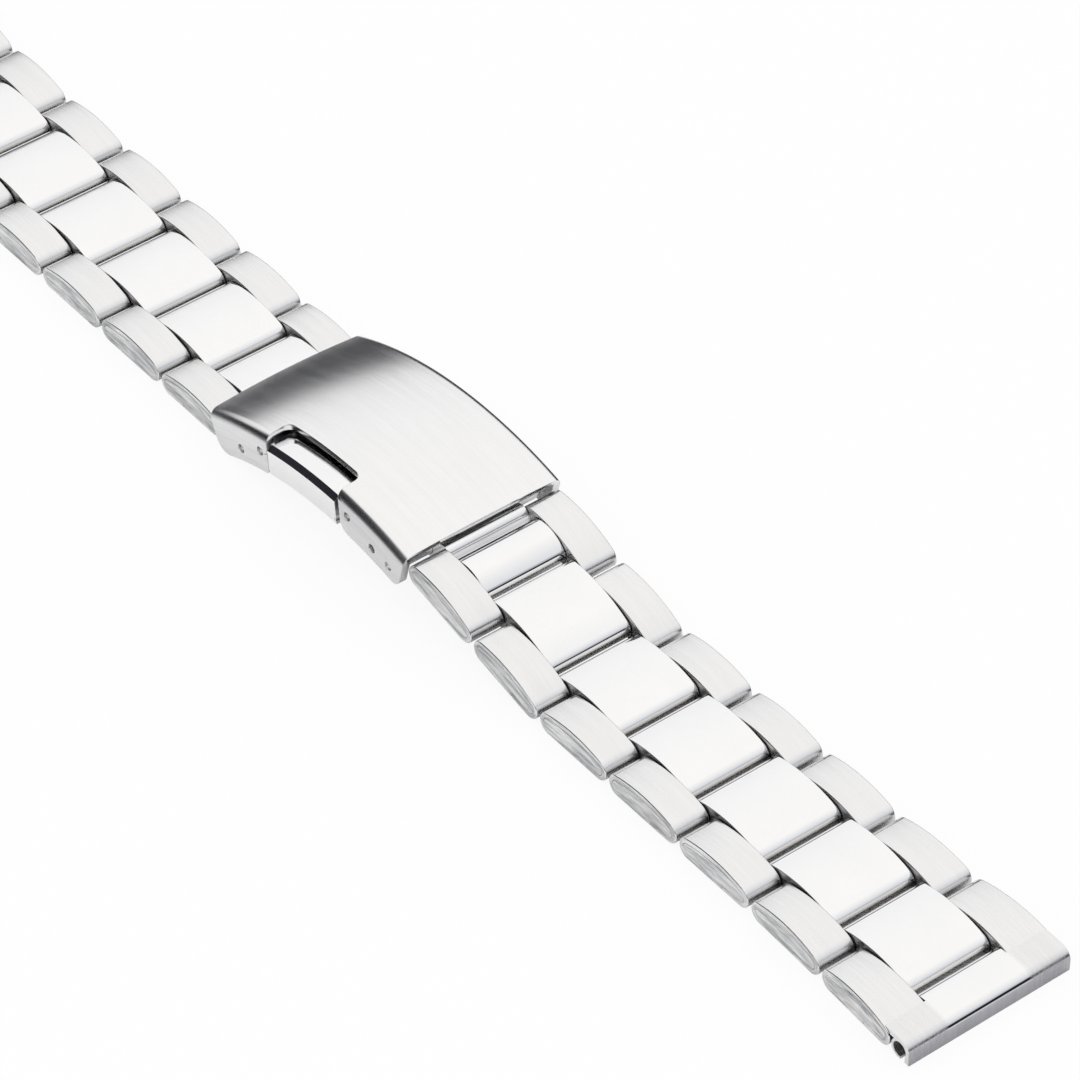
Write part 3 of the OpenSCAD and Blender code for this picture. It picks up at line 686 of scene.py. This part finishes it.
# Cover. One arched plate with two side flanges, pressed from sheet with rounded
# shoulders. The button's window and the pin holes are cut through it, and it is
# brushed along the band afterwards.
COVER_R, CROWN_R, SHOULDER_R = 44.99, 113.0, 1.0
COVER_Y, FLANGE_Y, FLANGE_R, CEILING_R = 8.9, 8.0, 40.4, 44.2
COVER_END, COVER_TURN = math.radians(19.4), math.radians(5.85)
BAR_ANGLE, BAR_RADIUS = math.radians(17), 41.7
COVER_HUB = (
    hinge_at["right_row_1_hinge"][0] / MM - BAR_RADIUS * math.sin(BAR_ANGLE - COVER_TURN),
    hinge_at["right_row_1_hinge"][2] / MM - BAR_RADIUS * math.cos(BAR_ANGLE - COVER_TURN),
)
SPAN_RINGS, CEILING_POINTS = 41, 13
# Angle in degrees and distance from the hub, in millimetres, of the holes for the button's two
# guide pins, the long blade's hinge, the spare hole and the spring bar
PIN_HOLES = ((-9.28, 42.55), (8.58, 42.55), (-13.85, BAR_RADIUS), (13.66, BAR_RADIUS), (17.0, BAR_RADIUS))
PIN_HOLE_R = 0.45
PAST_SIDE, NEAR_CUT_END, PAST_CORNER = 12, -4, 0.5
END_CORNER_R, BAR_CORNER_R = 1.6, 1.0
WINDOW_FROM, WINDOW_TO, WINDOW_Y, WINDOW_R = -5.725, 5.175, -6.1, 0.8
WINDOW_BELOW, WINDOW_ABOVE = 38, 48
WINDOW_CORNERS_R = (0.4, 1.4)
EDGE_BREAK = 0.04


def closed_steel(name, points, faces):
    """A closed mesh object from points in millimetres in the frame of the clasp: X and Z turn by
    the clasp's slope about the hub of its arch. Faces are turned outwards."""
    x, y, z = np.asarray(points, dtype=float).T
    lean, rise = math.cos(COVER_TURN), math.sin(COVER_TURN)
    place = np.stack([COVER_HUB[0] + x * lean - z * rise, y, COVER_HUB[1] + x * rise + z * lean], 1) * MM
    mesh = bpy.data.meshes.new(name)
    mesh.from_pydata(place.tolist(), [], [list(face) for face in faces])
    shell = bmesh.new()
    shell.from_mesh(mesh)
    bmesh.ops.recalc_face_normals(shell, faces=shell.faces)
    shell.to_mesh(mesh)
    shell.free()
    piece = bpy.data.objects.new(name, mesh)
    bpy.context.scene.collection.objects.link(piece)
    return piece


def tube_of(ring_points):
    """Points and faces of a closed tube through equal rings of points; one face closes each end."""
    rings, around = ring_points.shape[:2]
    ends = [range(around), range((rings - 1) * around, rings * around)]
    return ring_points.reshape(-1, 3), walls_of(rings, around).tolist() + ends


def cutter(plan, low, high, upright=False):
    """A prism over a plan: upright ones stand on a plan in X and Y, others lie across the band
    over a plan in X and Z, from low to high."""
    return tube_of(np.stack([np.insert(plan, 2 if upright else 1, level, axis=1) for level in (low, high)]))


def round_corner(angle, out, distance, radius):
    """Plan of the waste at a lower corner of the flange. The corner lies between the plane whose
    normal points out along the band at this angle, at this distance from the hub, and the arch of
    the lower edge; an arc of the given radius touches both."""
    normal = out * np.array([math.cos(angle), -math.sin(angle)])
    up = np.array([math.sin(angle), math.cos(angle)])
    inward = distance - radius
    hub = inward * normal + math.sqrt((FLANGE_R + radius) ** 2 - inward ** 2) * up
    down = -hub / np.linalg.norm(hub)
    start, stop = math.atan2(normal[1], normal[0]), math.atan2(down[1], down[0])
    turn = start + np.linspace(0, 1, 13) * ((stop - start + math.pi) % (2 * math.pi) - math.pi)
    arc = hub + radius * np.stack([np.cos(turn), np.sin(turn)], 1)
    below = arc[-1] + PAST_CORNER * down
    outside = [below, below + (radius + PAST_CORNER) * normal, arc[0] + PAST_CORNER * normal]
    return np.concatenate([arc, outside])


def spot_at(angle, radius):
    """X and Z in the frame of the clasp, from an angle in degrees and a distance from the hub."""
    return radius * np.array([math.sin(math.radians(angle)), math.cos(math.radians(angle))])


def joined(solids):
    """Several (points, faces) as one."""
    starts = np.cumsum([0] + [len(points) for points, _ in solids])
    faces = [[start + i for i in face] for (_, some), start in zip(solids, starts) for face in some]
    return np.concatenate([points for points, _ in solids]), faces


# Outer skin from the middle of the crown over the shoulder to the flange's lower edge: the normal
# turns by swing, and both arcs share the swing where they meet
shoulder_y = COVER_Y - SHOULDER_R
meet = math.asin(shoulder_y / (CROWN_R - SHOULDER_R))
shoulder_z = COVER_R - CROWN_R + math.sqrt((CROWN_R - SHOULDER_R) ** 2 - shoulder_y ** 2)
over = np.linspace(0, meet, 7)[:-1]
swing = np.linspace(meet, math.pi / 2, 14)
skin_y = np.concatenate([
    CROWN_R * np.sin(over), shoulder_y + SHOULDER_R * np.sin(swing), np.full(3, COVER_Y),
])
skin_z = np.concatenate([
    COVER_R - CROWN_R + CROWN_R * np.cos(over), shoulder_z + SHOULDER_R * np.cos(swing),
    np.linspace(shoulder_z, FLANGE_R, 4)[1:],
])
wall_points = len(skin_y) - CEILING_POINTS
hollow_y = np.concatenate([np.linspace(0, FLANGE_Y, CEILING_POINTS), np.full(wall_points, FLANGE_Y)])
hollow_z = np.concatenate([
    np.full(CEILING_POINTS - 1, CEILING_R), np.linspace(CEILING_R, FLANGE_R, wall_points + 1),
])
section_y = np.concatenate([-skin_y[:0:-1], skin_y, hollow_y[::-1], -hollow_y[1:]])
section_z = np.concatenate([skin_z[:0:-1], skin_z, hollow_z[::-1], hollow_z[1:]])
sweep = np.linspace(-COVER_END, COVER_END, SPAN_RINGS)[:, None]
across_ring = np.broadcast_to(section_y, (SPAN_RINGS, len(section_y)))
rings = np.stack([section_z * np.sin(sweep), across_ring, section_z * np.cos(sweep)], -1)
cover_faces = walls_of(SPAN_RINGS, len(section_y)).tolist()
outer = np.arange(len(section_y) // 2)
inner = len(section_y) - 1 - outer
edge_strip = np.stack([outer[:-1], inner[:-1], inner[1:], outer[1:]], 1)
for first in (0, (SPAN_RINGS - 1) * len(section_y)):
    cover_faces += (edge_strip + first).tolist()
cover = closed_steel("cover_plate", rings.reshape(-1, 3), cover_faces)

# The waste: the window in the near flange, the pin holes, and the lower corners of the flanges at
# both ends and beside the window
ring = np.linspace(0, 2 * math.pi, 32, endpoint=False)
quarter = np.linspace(0, math.pi / 2, 9)
arc_y = WINDOW_Y - WINDOW_R
window = np.concatenate([
    [(WINDOW_FROM, -PAST_SIDE), (WINDOW_TO, -PAST_SIDE)],
    (WINDOW_TO - WINDOW_R, arc_y) + WINDOW_R * np.stack([np.cos(quarter), np.sin(quarter)], 1),
    (WINDOW_FROM + WINDOW_R, arc_y) + WINDOW_R * np.stack([-np.sin(quarter), np.cos(quarter)], 1),
])
rim = PIN_HOLE_R * np.stack([np.cos(ring), np.sin(ring)], 1)
holes = [cutter(spot_at(*hole) + rim, -PAST_SIDE, PAST_SIDE) for hole in PIN_HOLES]
cuts = [
    joined([
        cutter(window, WINDOW_BELOW, WINDOW_ABOVE, True), *holes,
        cutter(round_corner(-COVER_END, -1, 0, END_CORNER_R), -PAST_SIDE, PAST_SIDE),
        cutter(round_corner(COVER_END, 1, 0, BAR_CORNER_R), -PAST_SIDE, PAST_SIDE),
    ]),
    joined([
        cutter(round_corner(0, out, out * edge, radius), -PAST_SIDE, NEAR_CUT_END)
        for out, edge, radius in zip((1, -1), (WINDOW_FROM, WINDOW_TO), WINDOW_CORNERS_R)
    ]),
]
waste = []
for number, cut in enumerate(cuts):
    waste.append(closed_steel(f"waste_{number}", *cut))
    step = cover.modifiers.new(f"cut_{number}", "BOOLEAN")
    step.operation, step.solver, step.object = "DIFFERENCE", "EXACT", waste[-1]
soften = cover.modifiers.new("broken_edges", "BEVEL")
soften.width, soften.segments, soften.limit_method = EDGE_BREAK * MM, 2, "ANGLE"
soften.angle_limit, soften.use_clamp_overlap = math.radians(35), False
bpy.context.view_layer.update()
cut_mesh = bpy.data.meshes.new_from_object(cover.evaluated_get(bpy.context.evaluated_depsgraph_get()))
cover.modifiers.clear()
for thing in waste:
    bpy.data.objects.remove(thing)
cover.data = cut_mesh
cut_mesh.name = "cover_plate"
cut_mesh.shade_smooth()
cut_mesh.set_sharp_from_angle(angle=math.radians(30))

# Corners on the crown and the shoulders take the normal of the two arcs, so that the cuts leave
# no trace in the reflections. Such a corner lies within 0.02 mm of the arcs, on a face that
# leans less than about 16 degrees from their normal
ON_SKIN, SKIN_FACE = 0.02, 0.96
found = np.empty(len(cut_mesh.vertices) * 3)
cut_mesh.vertices.foreach_get("co", found)
found = found.reshape(-1, 3) / MM
east, up = found[:, 0] - COVER_HUB[0], found[:, 2] - COVER_HUB[1]
out_r, out_a = np.hypot(east, up), np.arctan2(east, up)
side = np.sign(found[:, 1])
on_crown = np.abs(found[:, 1]) < shoulder_y
tilt_y = np.where(on_crown, found[:, 1], found[:, 1] - side * shoulder_y)
tilt_r = np.where(on_crown, out_r - COVER_R + CROWN_R, np.maximum(out_r - shoulder_z, 0))
from_arc = np.hypot(tilt_y, tilt_r) + 1e-9
gap = from_arc - np.where(on_crown, CROWN_R, SHOULDER_R)
skin = np.stack([tilt_r * np.sin(out_a), tilt_y, tilt_r * np.cos(out_a)], 1) / from_arc[:, None]
corner_of = np.empty(len(cut_mesh.loops), dtype=np.int32)
cut_mesh.loops.foreach_get("vertex_index", corner_of)
bent = np.empty(len(cut_mesh.loops) * 3)
cut_mesh.corner_normals.foreach_get("vector", bent)
bent = bent.reshape(-1, 3)
face_up = np.empty(len(cut_mesh.polygons) * 3)
cut_mesh.polygons.foreach_get("normal", face_up)
face_len = np.empty(len(cut_mesh.polygons), dtype=np.int32)
cut_mesh.polygons.foreach_get("loop_total", face_len)
face_up = np.repeat(face_up.reshape(-1, 3), face_len, axis=0)
on_skin = (np.abs(gap[corner_of]) < ON_SKIN) & ((skin[corner_of] * face_up).sum(1) > SKIN_FACE)
bent[on_skin] = skin[corner_of][on_skin]
cut_mesh.normals_split_custom_set(bent.tolist())

# The grain runs round the arch, and over the shoulders down the flanges
down_flange = side * (np.abs(found[:, 1]) + COVER_R - out_r)
unrolled = np.stack([COVER_R * (out_a + COVER_TURN), down_flange, np.zeros(len(found))], 1)
cover_grain = cut_mesh.attributes.new("grain", "FLOAT_VECTOR", "POINT")
cover_grain.data.foreach_set("vector", (unrolled * MM).astype(np.float32).ravel())

cover_paint, tree, metal = begin_paint("brushed_cover_steel")
place = mark(tree, "grain")
top_tone, top_rough, streak = brushed_skin(
    tree, place, (150, 4600, 0), (0.945, 0.94, 0.935), (0.88, 0.88, 0.88), 0.19, 0.24)
from_middle = sums(tree, "ABSOLUTE", parts_of(tree, place)[1])
flange = spread(tree, from_middle, 9.3 * MM, 9.8 * MM, 0.0, 1.0)
# The flanges are painted darker than the top: painted shade, where they mirror the shaded table.
flange_shade_tone = blend(tree, streak, (0.76, 0.76, 0.765), (0.90, 0.90, 0.90))
wire(tree, blend(tree, flange, top_tone, flange_shade_tone), metal.inputs["Base Color"])
wire(tree, sums(tree, "MULTIPLY_ADD", flange, 0.12, top_rough), metal.inputs["Roughness"])
wire(tree, relief(tree, streak, 3e-6), metal.inputs["Normal"])
cut_mesh.materials.clear()
cut_mesh.materials.append(cover_paint)
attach(cover, "clasp_frame")
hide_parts("clasp_cover")

# Flange pins. Three lengths of steel wire pressed through both flanges: the long
# blade's hinge and the two guides of the button. Their domed ends stay below the
# face, so that each hole shows a dark ring round a bright spot.
DOME_R = np.array([0.11, 0.19, 0.24, 0.27, 0.285, 0.45])
DOME_SUNK = np.array([0.106, 0.13, 0.17, 0.24, 0.40, 0.48])


def flange_pin(angle, radius):
    """A pin across the clasp: rings of the domed profile at the near end, then at the far end."""
    reach = COVER_Y - DOME_SUNK
    y = np.concatenate([-reach, reach[::-1]])[:, None]
    r = np.concatenate([DOME_R, DOME_R[::-1]])[:, None]
    x, z = spot_at(angle, radius)
    across_ring = np.broadcast_to(y, (len(y), len(ring)))
    return tube_of(np.stack([x + r * np.cos(ring), across_ring, z + r * np.sin(ring)], -1))


for name, places, replaced in (
        ("hinge_pin_domed", PIN_HOLES[2:3], "blade_hinge_pin"),
        ("guide_pins_domed", PIN_HOLES[:2], "button_cross_pins")):
    pin = closed_steel(name, *joined([flange_pin(*spot) for spot in places]))
    pin.data.shade_smooth()
    pin.data.set_sharp_from_angle(angle=math.radians(50))
    pin.data.materials.append(pin_paint)
    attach(pin, "clasp_frame")
    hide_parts(replaced)

# Push button. A bright cap with bevelled edges that slides on the two guide pins
# against two wound springs and whose hook lets the short blade go.
dress(polished_solid, "push_button")
dress(wire_paint, "button_springs")
